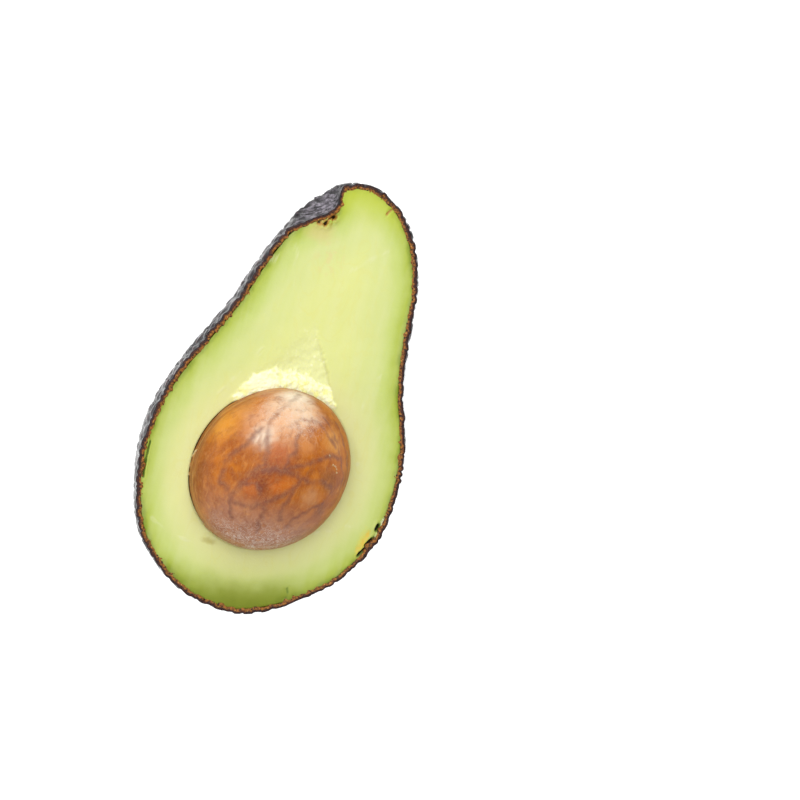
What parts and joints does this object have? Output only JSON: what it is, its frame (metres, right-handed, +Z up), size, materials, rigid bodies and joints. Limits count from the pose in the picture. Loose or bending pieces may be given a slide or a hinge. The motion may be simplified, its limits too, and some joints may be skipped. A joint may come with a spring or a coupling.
{
  "type": "avocado half",
  "caption": "Pear-shaped fruit cut lengthwise, with thin dark pebbled peel, pale green flesh and a big round seed standing in its hollow, lying on its back.",
  "frame": {"origin": "centre of the box round the half, at the height of the flat it rests on", "axes": "+Z up, out of the cut face apart from its tilt; +Y along the fruit towards the stem end; +X to the right of the cut face seen from above with the stem end up"},
  "size_m": [0.0644, 0.105, 0.054],
  "materials": {
    "peel": "glossy pebbled purple-black skin",
    "flesh": "moist, pale yellow-green with a darker green rim",
    "seed": "veined orange-brown seed coat, half glossy"
  },
  "bodies": {
    "root": {"peel": "peel", "flesh": "flesh", "seed": "seed"}
  },
  "joints": []
}
